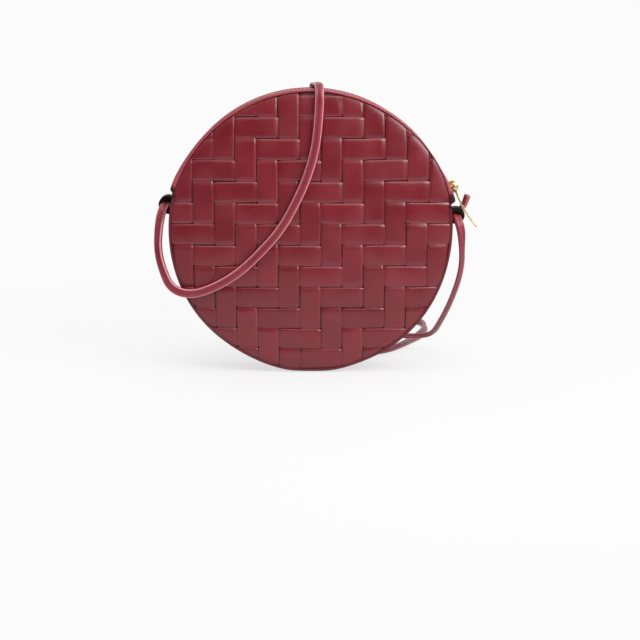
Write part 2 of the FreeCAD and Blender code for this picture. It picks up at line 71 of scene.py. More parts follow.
def corners_of(node):
    """The lowest and highest corner of a CAD node, to a tenth of a millimetre."""
    return [np.round(np.array(corner), 4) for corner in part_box(node)]


AXIS_Z = pivot_of("zip_slide")[2]
gusset_low, gusset_high = corners_of("lower_gusset")
panel_low, panel_high = corners_of("rear_panel")
facing_low, facing_high = corners_of("rear_zip_facing")
BAG_RADIUS = (gusset_high[0] - gusset_low[0]) / 2
GUSSET_HALF = gusset_high[1]
PANEL_BACK = panel_low[1]
PANEL_CROWN = panel_high[1]
FACING_TOP = facing_high[2] - AXIS_Z
FACING_EDGE = facing_low[1]
FACING_FRONT = facing_high[1]
ZIP_START, ZIP_END = np.radians([12.0, 163.0])
print("axis", AXIS_Z, "radius", BAG_RADIUS, "facing top", round(FACING_TOP, 4))

# %% [markdown]
# The camera comes early, because it decides which parts of the strap are seen. The photograph looks
# straight at the front from a little above, with a long lens, so the camera stands far away.

# %% Camera
CAMERA_DISTANCE = 1.3
CAMERA_RISE = np.radians(7.5)
CAMERA_PITCH = np.radians(10.32)
CAMERA_YAW = np.radians(0.316)


def placed(name, data):
    """A new object of the scene that holds the data, at the origin."""
    holder = bpy.data.objects.new(name, data)
    bpy.context.scene.collection.objects.link(holder)
    return holder


def aim(holder, place, sight):
    """Puts a camera or a lamp at a place and turns it to look along the vector sight."""
    holder.location = place
    holder.rotation_mode = "QUATERNION"
    holder.rotation_quaternion = Vector(sight).to_track_quat("-Z", "Y")


camera = placed("camera", bpy.data.cameras.new("camera"))
camera.data.sensor_width = 36.0
camera.data.lens = 102.05
aim(camera, (0, -CAMERA_DISTANCE * np.cos(CAMERA_RISE), AXIS_Z + CAMERA_DISTANCE * np.sin(CAMERA_RISE)),
    (np.sin(CAMERA_YAW) * np.cos(CAMERA_PITCH), np.cos(CAMERA_YAW) * np.cos(CAMERA_PITCH),
     -np.sin(CAMERA_PITCH)))
bpy.context.scene.camera = camera
print("camera at", np.round(camera.location, 3).tolist())

# %% [markdown]
# Finishes come before pieces, so that each piece can be given one as it is made. Small helpers add the
# shader nodes. The first takes the values of a node's inputs, and links those that are sockets. The others
# use it for the steps that most finishes share: mixing, ramps, noise and relief.

# %% Shader node helpers
def feed(tree, node, inputs):
    """Sets a node's inputs: links those that are given a socket, and writes the values of the others."""
    for name, value in inputs.items():
        if isinstance(value, bpy.types.NodeSocket):
            tree.links.new(value, node.inputs[name])
        else:
            node.inputs[name].default_value = value


def add_node(tree, kind, inputs=None, **settings):
    """A shader node of a kind, with settings on the node itself and values or links on its inputs."""
    node = tree.nodes.new("ShaderNode" + kind)
    for name, value in settings.items():
        setattr(node, name, value)
    feed(tree, node, inputs or {})
    return node


def new_material(name):
    """An empty node material: its tree, its shader and the Object coordinates that patterns read."""
    material = bpy.data.materials.new(name)
    material.use_nodes = True
    tree = material.node_tree
    shader = tree.nodes["Principled BSDF"]
    coordinates = add_node(tree, "TexCoord").outputs["Object"]
    return material, tree, shader, coordinates


def mixed(tree, factor, first, second):
    """The colour part way from first to second; each may be a colour or a socket."""
    ends = [end if isinstance(end, bpy.types.NodeSocket) else (*end, 1.0) for end in (first, second)]
    return add_node(tree, "Mix", {"Factor": factor, 6: ends[0], 7: ends[1]}, data_type="RGBA").outputs[2]


def ramp(tree, factor, low, high, start=0.0, end=1.0):
    """A value that goes from low to high, in an even S, as factor goes from start to end."""
    inputs = {"Value": factor, "From Min": start, "From Max": end, "To Min": low, "To Max": high}
    return add_node(tree, "MapRange", inputs, interpolation_type="SMOOTHSTEP").outputs["Result"]


def combined(tree, operation, first, second):
    """What a Math node's operation makes of two values or sockets."""
    return add_node(tree, "Math", {0: first, 1: second}, operation=operation).outputs[0]


def noise(tree, coordinates, scale, detail=2.0):
    """A cloudy pattern of values about a half: the larger the scale, the finer the clouds."""
    inputs = {"Vector": coordinates, "Scale": scale, "Detail": detail}
    return add_node(tree, "TexNoise", inputs).outputs["Fac"]


def add_bump(tree, shader, height, strength, depth):
    """Tilts the shader's normals as a relief with that pattern of heights and that depth would."""
    bump = add_node(tree, "Bump", {"Height": height, "Strength": strength, "Distance": depth})
    tree.links.new(bump.outputs["Normal"], shader.inputs["Normal"])


# %% [markdown]
# The leather is smooth calf with a half gloss. Three things keep it from looking like plastic: a slow
# mottling of the dye, a gloss that varies with it, and a fine pebble in the surface. Each leather
# piece also carries a number at every point, called shade: 1 is plain leather, lower is darker and higher is
# paler. Lower is real dark paint on cut edges, and painted shade in crevices, grooves and behind the weave.
# Higher is a painted highlight on folds and rounded edges.

# %% Leather
MOTTLE_SCALE, PORE_SCALE, CELL_SCALE = 55.0, 3600.0, 2700.0
GRAIN_STRENGTH, GRAIN_DEPTH = 0.12, 0.1 * MM


def leather(name, colour, dark, worn, pale, gloss, specular=0.5):
    """Dyed leather: dark where shade is under 1, as edge paint and painted shade, pale where it is
    over 1, as a painted highlight, worn on the slow mottling's peaks, with a fine pebble."""
    material, tree, shader, coordinates = new_material(name)
    shade = add_node(tree, "Attribute", attribute_name="shade").outputs["Fac"]
    mottle = noise(tree, coordinates, MOTTLE_SCALE, detail=1.0)
    pores = noise(tree, coordinates, PORE_SCALE)
    cells = add_node(tree, "TexVoronoi", {"Vector": coordinates, "Scale": CELL_SCALE}).outputs["Distance"]
    dyed = mixed(tree, ramp(tree, mottle, 0.0, 1.0, 0.2, 0.8), colour, worn)
    speckled = mixed(tree, ramp(tree, pores, 0.2, 0.0, 0.25, 0.55), dyed, dark)
    # Shade under 1 darkens towards the dark colour (edge paint and painted shade); shade over 1 mixes in the pale
    # colour, a painted highlight.
    painted_highlight = combined(tree, "SUBTRACT", shade, 1.0)
    toned = mixed(tree, painted_highlight, mixed(tree, shade, dark, speckled), pale)
    feed(tree, shader, {"Base Color": toned, "Roughness": ramp(tree, mottle, *gloss, 0.25, 0.75),
                        "Specular IOR Level": specular})
    add_bump(tree, shader, combined(tree, "ADD", pores, cells), GRAIN_STRENGTH, GRAIN_DEPTH)
    return material


# The pale pink is the colour of painted highlights on folds and rounded edges.
HIGHLIGHT_PINK = (0.52, 0.17, 0.19)
panel_leather = leather("panel_leather", (0.165, 0.006, 0.013), (0.03, 0.002, 0.004), (0.20, 0.011, 0.020),
                        HIGHLIGHT_PINK, gloss=(0.26, 0.36), specular=0.6)
# The strap's pale colour is a painted highlight on its rolled edges and side.
strap_leather = leather("strap_leather", (0.25, 0.024, 0.041), (0.05, 0.004, 0.008), (0.31, 0.04, 0.06),
                        (0.72, 0.28, 0.31), gloss=(0.26, 0.36))
# The edge leather is lighter and pinker than the panel: partly its own colour, and partly a painted highlight for
# the lips that face up to the light.
edge_leather = leather("edge_leather", (0.25, 0.024, 0.038), (0.014, 0.002, 0.003), (0.28, 0.032, 0.048),
                       HIGHLIGHT_PINK, gloss=(0.28, 0.38))
# The loop leather is near black: black paint on its cut edges, and painted shade over the rest of the loop.
loop_leather = leather("loop_leather", (0.014, 0.003, 0.004), (0.006, 0.002, 0.002), (0.02, 0.004, 0.005),
                       HIGHLIGHT_PINK, gloss=(0.5, 0.6), specular=0.15)

# %% [markdown]
# Thread, zip tape, lining and board are all fibres. Two crossed waves make a weave, whose height goes to
# a bump and whose hollows are darkened with painted shade. The gold is a polished metal whose roughness has faint
# streaks.

# %% Cloth and metal
WAVE_LENGTH = 1 / 3.14


def cloth(name, colour, hollow_shade, pitch, rough=0.85):
    """A plain cloth: two crossed waves, one thread to each pitch, with painted shade in the
    hollows between threads.
    """
    material, tree, shader, coordinates = new_material(name)
    scale = WAVE_LENGTH / pitch
    waves = [add_node(tree, "TexWave", {"Vector": coordinates, "Scale": scale, "Distortion": 0.6},
                      bands_direction=way).outputs["Fac"] for way in ("X", "Z")]
    woven = combined(tree, "MAXIMUM", *waves)
    tone = mixed(tree, woven, hollow_shade, colour)
    feed(tree, shader, {"Base Color": tone, "Roughness": rough, "Sheen Weight": 0.2})
    add_bump(tree, shader, woven, 0.4, 0.15 * MM)
    return material


def polished(name, colour, rough):
    """A plated metal: fine streaks of roughness and a faint unevenness in the surface."""
    material, tree, shader, coordinates = new_material(name)
    streaks = noise(tree, coordinates, 900.0, detail=4.0)
    cloud = noise(tree, coordinates, 180.0)
    duller = tuple(0.86 * part for part in colour)
    tone = mixed(tree, ramp(tree, cloud, 0.0, 1.0, 0.35, 0.65), colour, duller)
    gloss = ramp(tree, streaks, *rough, 0.3, 0.7)
    feed(tree, shader, {"Base Color": tone, "Roughness": gloss, "Metallic": 1.0})
    add_bump(tree, shader, streaks, 0.05, 0.05 * MM)
    return material


thread = cloth("thread", (0.19, 0.018, 0.028), (0.10, 0.010, 0.015), 0.12 * MM, rough=0.6)
tape_cloth = cloth("tape_cloth", (0.11, 0.012, 0.018), (0.03, 0.004, 0.006), 0.5 * MM)
lining_cloth = cloth("lining_cloth", (0.16, 0.03, 0.035), (0.07, 0.012, 0.015), 0.4 * MM)
board = cloth("board", (0.42, 0.36, 0.28), (0.30, 0.25, 0.19), 0.8 * MM)
gold = polished("gold", (0.95, 0.73, 0.36), rough=(0.22, 0.34))
FINISH_OF_SLOT = {"panel_leather": panel_leather, "strap_leather": strap_leather,
                  "loop_leather": loop_leather, "stiffener_board": board, "lining_fabric": lining_cloth,
                  "zip_tape": tape_cloth, "gold_metal": gold}
print(len(bpy.data.materials), "finishes")

# %% [markdown]
# Every new piece is a grid of points: rings of a profile carried along a path. Its faces follow from the
# counts of rows and columns alone, so they are worked out on whole arrays, and no vertex is handled one by
# one. A tube is such a grid with a cap at each end.

# %% Faces of grids and tubes
def grid_faces(rows, columns):
    """The quads of a grid whose last column joins its first."""
    index = np.arange(rows * columns).reshape(rows, columns)
    index = np.concatenate([index, index[:, :1]], axis=1)
    quads = [index[:-1, :-1], index[:-1, 1:], index[1:, 1:], index[1:, :-1]]
    return np.stack(quads, axis=-1).reshape(-1, 4)


def tube_faces(rings, around):
    """A tube's quads and the two caps that close its ends."""
    first = np.arange(around)
    return [grid_faces(rings, around), np.stack([first[::-1], first + (rings - 1) * around])]


def repeated(faces, copies, size):
    """The same faces for many copies of a shape, each copy of size points."""
    shift = (np.arange(copies) * size)[:, None, None]
    return [(block[None] + shift).reshape(-1, block.shape[1]) for block in faces]


# %% [markdown]
# One helper makes an object of points and faces. It turns the faces outwards by the sign of the volume that
# they enclose, keeps the shade of every point, and puts the piece on the body that it moves with.

# %% From arrays to a piece
def volume_of(points, faces):
    """The volume that faces enclose, negative if they point inwards: a sixth of the sum of corner
    products of the triangles that each face fans into."""
    total = 0.0
    for block in faces:
        for side in range(1, block.shape[1] - 1):
            first, second, third = (points[block[:, corner]] for corner in (0, side, side + 1))
            total += np.einsum("ij,ij->", first, np.cross(second, third))
    return total / 6


def new_piece(name, points, faces, finish, body="bag", replaces=(), shade=None):
    """A mesh object at the origin from points and blocks of faces, riding on a body."""
    points = np.asarray(points, float).reshape(-1, 3)
    if volume_of(points - points.mean(0), faces) < 0:
        faces = [block[:, ::-1] for block in faces]
    corners = np.concatenate([block.ravel() for block in faces])
    sizes = np.concatenate([np.full(len(block), block.shape[1]) for block in faces])
    mesh = bpy.data.meshes.new(name)
    mesh.vertices.add(len(points))
    mesh.vertices.foreach_set("co", points.ravel())
    mesh.loops.add(len(corners))
    mesh.loops.foreach_set("vertex_index", corners)
    mesh.polygons.add(len(sizes))
    mesh.polygons.foreach_set("loop_start", np.cumsum(sizes) - sizes)
    mesh.polygons.foreach_set("use_smooth", sizes == 4)
    mesh.update(calc_edges=True)
    shades = np.ones(len(points)) if shade is None else np.asarray(shade).ravel()
    mesh.attributes.new("shade", "FLOAT", "POINT").data.foreach_set("value", shades)
    mesh.materials.append(finish)
    piece = placed(name, mesh)
    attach(piece, body)
    if replaces:
        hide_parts(*replaces)
    print("%-20s %6d points %6d faces" % (name, len(points), len(sizes)))
    return piece


# %% [markdown]
# Cut leather is rubbed smooth, so its corners are never sharp, and a bag that stands is flat at its foot.
# These helpers round an outline, blend between two values and carry points round the axis.

# %% Rounded shapes
def rounded(outline, reach, steps=4):
    """A closed outline with its corners rounded: between the two points that lie reach from a corner
    along its sides, a quadratic curve with the corner as its control point."""
    outline = np.asarray(outline, float)
    reach = np.broadcast_to(reach, len(outline))[:, None]
    back = np.roll(outline, 1, axis=0) - outline
    ahead = np.roll(outline, -1, axis=0) - outline
    start = outline + back / np.linalg.norm(back, axis=1, keepdims=True) * reach
    end = outline + ahead / np.linalg.norm(ahead, axis=1, keepdims=True) * reach
    t = np.linspace(0, 1, steps + 1)[None, :, None]
    curve = (1 - t) ** 2 * start[:, None] + 2 * t * (1 - t) * outline[:, None] + t ** 2 * end[:, None]
    return curve.reshape(-1, 2)


def smooth_step(value):
    """0 below 0, 1 above 1, and an even S between."""
    value = np.clip(value, 0, 1)
    return value * value * (3 - 2 * value)


FOOT_SOFT = 0.6 * MM


def above_foot(height, foot):
    """The larger of two heights, with a soft corner where they meet: half of their sum plus the length
    of their difference, which FOOT_SOFT keeps from reaching zero."""
    return (height + foot + np.hypot(height - foot, FOOT_SOFT)) / 2


def round_the_axis(radius, y, angle):
    """Points at a radius and an angle round the bag's axis, the angle from +X to +Z. The foot is
    flat: no point goes lower than its own inset from the bag's outer radius."""
    radius, y, angle = np.broadcast_arrays(radius, y, angle)
    height = above_foot(AXIS_Z + radius * np.sin(angle), BAG_RADIUS - radius)
    return np.stack([radius * np.cos(angle), y, height], axis=-1)


# %% [markdown]
# A soft bag is never quite a true disc. It has settled on its lower left side, and the zip's slider has
# pulled the rim out at the upper right. So the front rim is moved in or out by up to a few millimetres,
# in a few smooth bumps by angle. At the back the bag leans away a little, so the rear rim has sunk along
# the top. Both moves fade out towards the middle of the panel and towards the middle plane.

# %% How the rims have settled
RIM_BUMPS = np.array([(26, 24, 2.6), (75, 25, 0.5), (164, 14, 0.7), (222, 40, -0.7), (240, 19, -1.2),
                      (292, 14, -0.8), (327, 16, 0.1)])
REAR_SINK = np.array([(24, 0), (34, -1.2), (44, -2.3), (60, -2.9), (130, -2.9), (140, -2.3), (152, -1.2),
                      (158, 0)])
SETTLE_PLANE = 5 * MM
SETTLE_FRONT = 22 * MM
SETTLE_REAR = 12 * MM


def rear_shift(angle):
    """How far the rear rim has sunk at an angle, read off a table of degrees and millimetres."""
    return MM * np.interp(np.degrees(angle) % 360, REAR_SINK[:, 0], REAR_SINK[:, 1])


def rim_shift(angle):
    """How far the front rim stands out at an angle: a sum of bell curves, each given by its middle and
    its width in degrees and its height in millimetres."""
    off = np.degrees(angle)[..., None] - RIM_BUMPS[:, 0]
    off = (off + 180) % 360 - 180
    return MM * np.sum(RIM_BUMPS[:, 2] * np.exp(-(off / RIM_BUMPS[:, 1]) ** 2), axis=-1)


def settled(points):
    """The points moved along their radius by the rim's shift, which grows as the sixth power of the
    radius. The front's shift and the rear's both fall to nothing a little behind the middle plane."""
    x, y, rise = points[..., 0], points[..., 1], points[..., 2] - AXIS_Z
    distance = np.maximum(np.hypot(x, rise), 1e-9)
    angle = np.arctan2(rise, x)
    move = rim_shift(angle) * smooth_step((SETTLE_PLANE - y) / SETTLE_FRONT)
    move = move + rear_shift(angle) * smooth_step((y - SETTLE_PLANE) / SETTLE_REAR)
    move = move * (distance / BAG_RADIUS) ** 6 / distance
    return points + np.stack([x * move, 0 * y, rise * move], axis=-1)


print("rear rim at the top moves by", round(float(rear_shift(np.pi / 2)), 4))

# %% [markdown]
# The strap is a fixed length of soft leather, folded double and sewn along its length. Its line is a
# smooth curve led by the listed points of the route: out of the right-hand loop, down behind the
# bag in one slack loop on the floor, up the back, over the zip and down the front to the other loop.

# %% The strap's line
STRAP_ROUTE = MM * np.array([
    (113.2, 10.0, 123.5), (110.8, 11.0, 114.5), (104.6, 9.5, 111.6), (104.4, -9.5, 109.8),
    (107.4, -11.4, 101.0), (108.4, -8.0, 86.0), (108.9, -2.5, 75.3), (107.5, 6.0, 62.8),
    (104.7, 16.0, 50.4), (101.1, 29.0, 37.1), (96.4, 44.0, 23.4), (92.4, 58.0, 12.8),
    (80.5, 66.0, 9.6), (64.0, 69.5, 10.0), (48.0, 74.0, 6.4), (29.0, 81.5, 2.5),
    (4.0, 92.0, 2.5), (-23.0, 99.0, 2.5), (-50.0, 104.5, 2.5), (-70.5, 119.5, 2.5),
    (-77.5, 142.0, 2.5), (-65.0, 162.5, 2.5), (-41.0, 171.5, 2.5), (-13.0, 173.0, 2.5),
    (15.0, 177.0, 2.9), (43.0, 180.5, 3.3), (68.0, 179.5, 3.3), (87.0, 168.5, 3.3),
    (92.6, 147.0, 3.3), (90.6, 124.0, 3.2), (84.4, 102.0, 2.8), (75.6, 82.0, 2.5),
    (67.2, 64.0, 2.5), (58.0, 48.0, 2.5), (44.5, 38.0, 2.5), (29.5, 33.0, 3.6),
    (17.0, 30.0, 11.0), (10.4, 27.4, 25.0), (9.0, 26.2, 45.0), (8.4, 26.4, 72.0),
    (7.8, 26.6, 104.0), (6.6, 26.0, 136.0), (4.8, 24.6, 164.0), (3.4, 23.4, 186.0),
    (2.6, 22.6, 198.8), (3.0, 17.0, 202.3), (4.2, 8.0, 202.8), (5.6, -8.0, 203.2),
    (6.3, -17.0, 203.6), (6.8, -23.0, 200.0), (6.5, -23.4, 185.7), (4.4, -24.0, 162.8),
    (-0.7, -25.0, 143.2), (-8.7, -25.8, 124.4), (-19.9, -26.2, 103.9), (-33.1, -26.2, 88.8),
    (-49.5, -25.7, 72.9), (-66.6, -24.6, 62.3), (-84.1, -23.6, 56.3), (-98.7, -23.0, 60.7),
    (-105.1, -20.6, 76.7), (-107.6, -17.8, 88.8), (-107.2, -15.4, 101.0), (-105.8, -13.4, 111.5),
    (-103.0, -11.6, 119.2), (-101.2, 7.5, 119.4)])


def smooth_line(route):
    """The points of a NURBS line of order 3 that has the route as its control points."""
    curve = bpy.data.curves.new("route", "CURVE")
    curve.dimensions = "3D"
    curve.resolution_u = 16
    spline = curve.splines.new("NURBS")
    spline.points.add(len(route) - 1)
    spline.points.foreach_set("co", np.column_stack([route, np.ones(len(route))]).ravel())
    spline.order_u = 3
    spline.use_endpoint_u = True
    carrier = bpy.data.objects.new("route", curve)
    mesh = bpy.data.meshes.new_from_object(carrier)
    line = np.zeros(len(mesh.vertices) * 3)
    mesh.vertices.foreach_get("co", line)
    bpy.data.meshes.remove(mesh)
    bpy.data.curves.remove(curve)
    return line.reshape(-1, 3)


def evenly(line, values, step):
    """What a line's points carry, at places about one step apart along it, and those distances."""
    gaps = np.linalg.norm(np.diff(line, axis=0), axis=1)
    along = np.concatenate([[0], np.cumsum(gaps)])
    places = np.linspace(0, along[-1], int(along[-1] / step) + 1)
    return np.stack([np.interp(places, along, axis) for axis in values.T], axis=1), places


STRAP_STEP = 1.6 * MM
route_line = smooth_line(STRAP_ROUTE)
strap_line, strap_places = evenly(route_line, route_line, STRAP_STEP)
print("strap length", round(strap_places[-1], 4), "points", len(strap_line))

# %% [markdown]
# A flat strap also has to know which way it faces, and that is given too, for each point of the
# route. It lies flat in the loops and mostly on the floor, faces out where it hangs on the bag, and stands
# on edge down the right-hand side and in the tight bend on the floor. The same kind of smooth curve, led by
# these directions, gives a slow twist.

# %% Which way the strap faces
STRAP_WIDTH = 6.4 * MM
STRAP_THICKNESS = 4.0 * MM
UP, DOWN, OUT_BACK, OUT_FRONT = (0, 0, 1), (0, 0, -1), (0, 1, 0), (0, -1, 0)
STRAP_FACES = [
    (0.8, 0.35, -0.4), (0.6, 0.2, -0.75), DOWN, (0, 0.6, -0.8), (-0.45, 0.9, 0), (-0.98, 0.2, 0.07),
    (-0.95, 0.24, 0.22), (-0.88, 0.3, 0.37), (-0.84, 0.3, 0.45), (-0.79, 0.3, 0.53), (-0.74, 0.29, 0.61),
    (-0.45, 0.2, 0.87), *[UP] * 12, (0, 0.6, 0.8), (0, 1, 0.3), (0.35, 0.9, 0.2), (0.75, 0.65, 0.15),
    (1, 0.1, 0.15), (0.9, -0.2, 0.4), (0.5, -0.2, 0.85), *[UP] * 4, (0.3, 0.3, 0.9), (0.45, 0.75, 0.45),
    (0.2, 1, 0.1), *[OUT_BACK] * 6, (0, 0.8, 0.6), (0, 0.3, 1), *[UP] * 2, (0, -0.3, 1), (0, -0.8, 0.6),
    *[OUT_FRONT] * 9, (-0.25, -1, 0), (-0.5, -0.85, 0), (-0.6, -0.8, 0), (-0.5, -0.85, 0),
    (-0.2, -0.95, 0.1), (0, -0.6, 0.8), UP]


def unit(vectors):
    """Vectors of length 1 in the same directions."""
    return vectors / np.linalg.norm(vectors, axis=-1, keepdims=True)


def facing_frames(line, face):
    """The tangent, the face direction square to it, and the direction across, at every point."""
    tangent = unit(np.gradient(line, axis=0))
    face = unit(face - tangent * np.sum(face * tangent, axis=1, keepdims=True))
    return tangent, face, np.cross(tangent, face)


facing, _ = evenly(route_line, smooth_line(STRAP_FACES), STRAP_STEP)
strap_tangent, strap_face, strap_across = facing_frames(strap_line, facing)
print("faces chosen for", len(STRAP_FACES), "of", len(STRAP_ROUTE), "route points")

# %% [markdown]
# The strap's section is a soft oval with a groove along its face, where the stitches pull the leather
# down. Sweeping that section along the line gives the strap. The groove's points are given a low shade, which
# is painted shade. Down the front the two rolled edges carry painted highlights. On the rest of the strap
# those edges get painted shade and its side a painted highlight, and on the floor the whole strap is
# darkened with the bag's painted shadow. Places along the strap are in metres from its tail.

# %% The strap
GROOVE_OFFSET = 0.7 * MM
GROOVE_HALF = 0.9 * MM
GROOVE_DEPTH = 0.8 * MM
SECTION_POWER = 0.85
EDGE_MIDDLE, EDGE_HALF = 2.72 * MM, 0.33 * MM
SIDE_START, SIDE_BLEND = 2.95 * MM, 0.2 * MM
FRONT_FROM, FRONT_BLEND = 0.84, 0.03
FLOOR_FROM, FLOOR_TO, FLOOR_BLEND = 0.2, 0.7, 0.05


def strap_section(count=28):
    """Across and out distances round the section: a superellipse, less the groove on both faces."""
    turn = np.arange(count) / count * 2 * np.pi
    across = STRAP_WIDTH / 2 * np.sign(np.cos(turn)) * np.abs(np.cos(turn)) ** SECTION_POWER
    out = STRAP_THICKNESS / 2 * np.sign(np.sin(turn)) * np.abs(np.sin(turn)) ** SECTION_POWER
    groove = np.exp(-((across - GROOVE_OFFSET) / GROOVE_HALF) ** 2)
    return across, out - np.sign(out) * GROOVE_DEPTH * groove, groove


section_across, section_out, section_groove = strap_section()
strap_points = (strap_line[:, None] + strap_across[:, None] * section_across[None, :, None]
                + strap_face[:, None] * section_out[None, :, None])
# Painted light on the strap: shade in the groove, highlights on the front's edges, dark edge lines and a pale side
# elsewhere, and the bag's shadow on the floor stretch.
edge_line = np.exp(-((np.abs(section_across) - EDGE_MIDDLE) / EDGE_HALF) ** 2)
edge_side = smooth_step((np.abs(section_across) - SIDE_START) / SIDE_BLEND)
front_part = smooth_step((strap_places - FRONT_FROM) / FRONT_BLEND)[:, None]
floor_part = smooth_step((strap_places - FLOOR_FROM) / FLOOR_BLEND)[:, None]
floor_part = floor_part * smooth_step((FLOOR_TO - strap_places) / FLOOR_BLEND)[:, None]
strap_shade = (0.95 - 0.4 * section_groove - 0.25 * floor_part + edge_line * (1.45 * front_part - 0.4)
               + edge_side * (0.3 - 0.45 * front_part))
strap = new_piece("strap", strap_points, tube_faces(*strap_points.shape[:2]), strap_leather,
                  shade=strap_shade,
                  replaces=("strap_right_drop", "strap_floor_loop", "strap_back_rise", "strap_over_top",
                            "strap_front_drape"))

# %% [markdown]
# Stitches are tiny capsules, hundreds of them, so each has few faces. One function makes them all: it
# takes the places, the direction of the seam and the direction out of the leather, and lays a squashed
# ball along each.

# %% Stitches
STITCH_PITCH = 2.9 * MM
STITCH_LENGTH = 2.1 * MM
STITCH_WIDTH = 0.55 * MM
STITCH_RINGS, STITCH_SIDES = 5, 6


def stitches(name, places, along, out, finish):
    """A row of squashed balls: six points round each of five rings, long in the seam's direction."""
    rise = np.linspace(-1, 1, STITCH_RINGS)
    turn = np.arange(STITCH_SIDES) / STITCH_SIDES * 2 * np.pi
    girth = np.sqrt(1.02 - rise ** 2)[:, None] * STITCH_WIDTH / 2
    side = np.cross(along, out)
    ball = np.stack([rise[:, None] * STITCH_LENGTH / 2 + 0 * turn, girth * np.cos(turn),
                     girth * np.sin(turn)], axis=-1).reshape(-1, 3)
    axes = np.stack([along, side, out], axis=1)
    points = places[:, None] + np.einsum("ka,nab->nkb", ball, axes)
    faces = repeated(tube_faces(STITCH_RINGS, STITCH_SIDES), len(places), len(ball))
    return new_piece(name, points, faces, finish)


seam_places = np.arange(STITCH_PITCH, strap_places[-1] - STITCH_PITCH, STITCH_PITCH)
picks = np.searchsorted(strap_places, seam_places)
groove_floor = STRAP_THICKNESS / 2 - GROOVE_DEPTH
groove_line = strap_line[picks] + strap_across[picks] * GROOVE_OFFSET
strap_seam = [groove_line + strap_face[picks] * groove_floor * side for side in (1, -1)]
strap_stitches = stitches("strap_stitches", np.concatenate(strap_seam),
                          np.concatenate([strap_tangent[picks]] * 2),
                          np.concatenate([strap_face[picks]] * 2), thread)

# %% [markdown]
# Each panel is woven from flat leather strips, some upright and some across. A strip goes over two
# strips and under two, and each row steps one strip along, so the floats climb like stairs. Every strip
# is one closed ribbon: its section is carried along its length, its two ends are cut to the panel's
# circle, and its height follows the weave.

# %% Sizes of the weave
STRIP_PITCH = 15.0 * MM
STRIP_WIDTH = 14.4 * MM
STRIP_THICKNESS = 1.05 * MM
STRIP_COUNT = 13
WEAVE_RADIUS = 99.6 * MM
WEAVE_FOOT = BAG_RADIUS - WEAVE_RADIUS
WEAVE_LIFT = 0.7 * MM
WEAVE_MIDDLE = PANEL_BACK + 1.12 * MM
DOME_RADIUS = 96.0 * MM
DOME_RISE = PANEL_CROWN - PANEL_BACK - 1.8 * MM
ROLL_START = 95.2 * MM
ROLL_DEPTH = 1.0 * MM
STRIP_CROWN = 0.3 * MM
EDGE_DROP = 0.5 * MM
EDGE_SHARE = 0.14


def dome(radius):
    """How far the panel bulges at a radius: a shallow bowl, less the square-law roll of its rim."""
    roll = ROLL_DEPTH * np.maximum((radius - ROLL_START) / (WEAVE_RADIUS - ROLL_START), 0) ** 2
    return DOME_RISE * np.maximum(1 - (radius / DOME_RADIUS) ** 2, 0) - roll


def strip_section():
    """Across and out distances round a strip: a crowned top, a flat back and rounded edges."""
    half = STRIP_WIDTH / 2
    top = half * np.sin(np.linspace(-np.pi / 2, np.pi / 2, 13))
    back = half * np.sin(np.linspace(np.pi / 2, -np.pi / 2, 7))[1:-1]
    share = np.abs(top) / half
    crown = STRIP_CROWN * (1 - share ** 2)
    edge = EDGE_DROP * np.maximum(share - 1 + EDGE_SHARE, 0) ** 2 / EDGE_SHARE ** 2
    return np.concatenate([top, back]), np.concatenate([STRIP_THICKNESS / 2 + crown - edge,
                                                        np.full(len(back), -STRIP_THICKNESS / 2)])


print(STRIP_COUNT, "strips each way, the panel bulges by", round(float(dome(0.0)), 4))

# %% [markdown]
# Which strip lies on top at a crossing is kept as a table of 1 for over and -1 for under. Between two
# crossings a real strip bends over its neighbour's edge, so its height takes a smooth step there.

# %% Heights in the weave
STEP_SHARE = 0.2


def weave_height(along, over):
    """How high each strip lies along its length, from -1 under to 1 over. Within a crossing it is
    level, and it steps smoothly between neighbouring crossings about their common edge."""
    place = along / STRIP_PITCH + STRIP_COUNT / 2
    cell = np.clip(np.floor(place).astype(int), 0, STRIP_COUNT - 1)
    part = place - cell
    strip = np.arange(len(over)).reshape(-1, 1, 1)
    here = over[strip, cell]
    above = over[strip, np.minimum(cell + 1, STRIP_COUNT - 1)]
    below = over[strip, np.maximum(cell - 1, 0)]
    to_above = smooth_step((part - 1 + STEP_SHARE) / (2 * STEP_SHARE)) * (part > 0.5)
    to_below = smooth_step((STEP_SHARE - part) / (2 * STEP_SHARE)) * (part < 0.5)
    return here + (above - here) * to_above + (below - here) * to_below


# %% [markdown]
# Hand-laid strips are never quite alike. Each gets its own slow waves of tilt, height and sideways drift, and
# its own tone of dye. Towards the rim, where the binding holds them, the strips are pressed flatter. Where a
# strip dives under, its colour is darkened as painted shade, and its folded edges get a faint painted highlight.

# %% One layer of strips
UNEVEN_LENGTHS = (38, 90)
UNEVEN_TILT, UNEVEN_RISE, UNEVEN_DRIFT = 0.017, 0.05 * MM, 0.2 * MM
RIM_INSET = 0.4 * MM
PRESS_SHARE, PRESS_REACH = 0.35, 9 * MM
TONES = (0.82, 1.0)
# The fold's pale and the under shade paint light into the strips: a painted highlight on folded edges, painted
# shade where a strip dives under.
FOLD_SHARE, FOLD_HIGHLIGHT, FOLD_REACH = 0.1, 0.3, 6 * MM
UNDER_SHADE, UNDER_HEIGHT = 0.35, 0.75


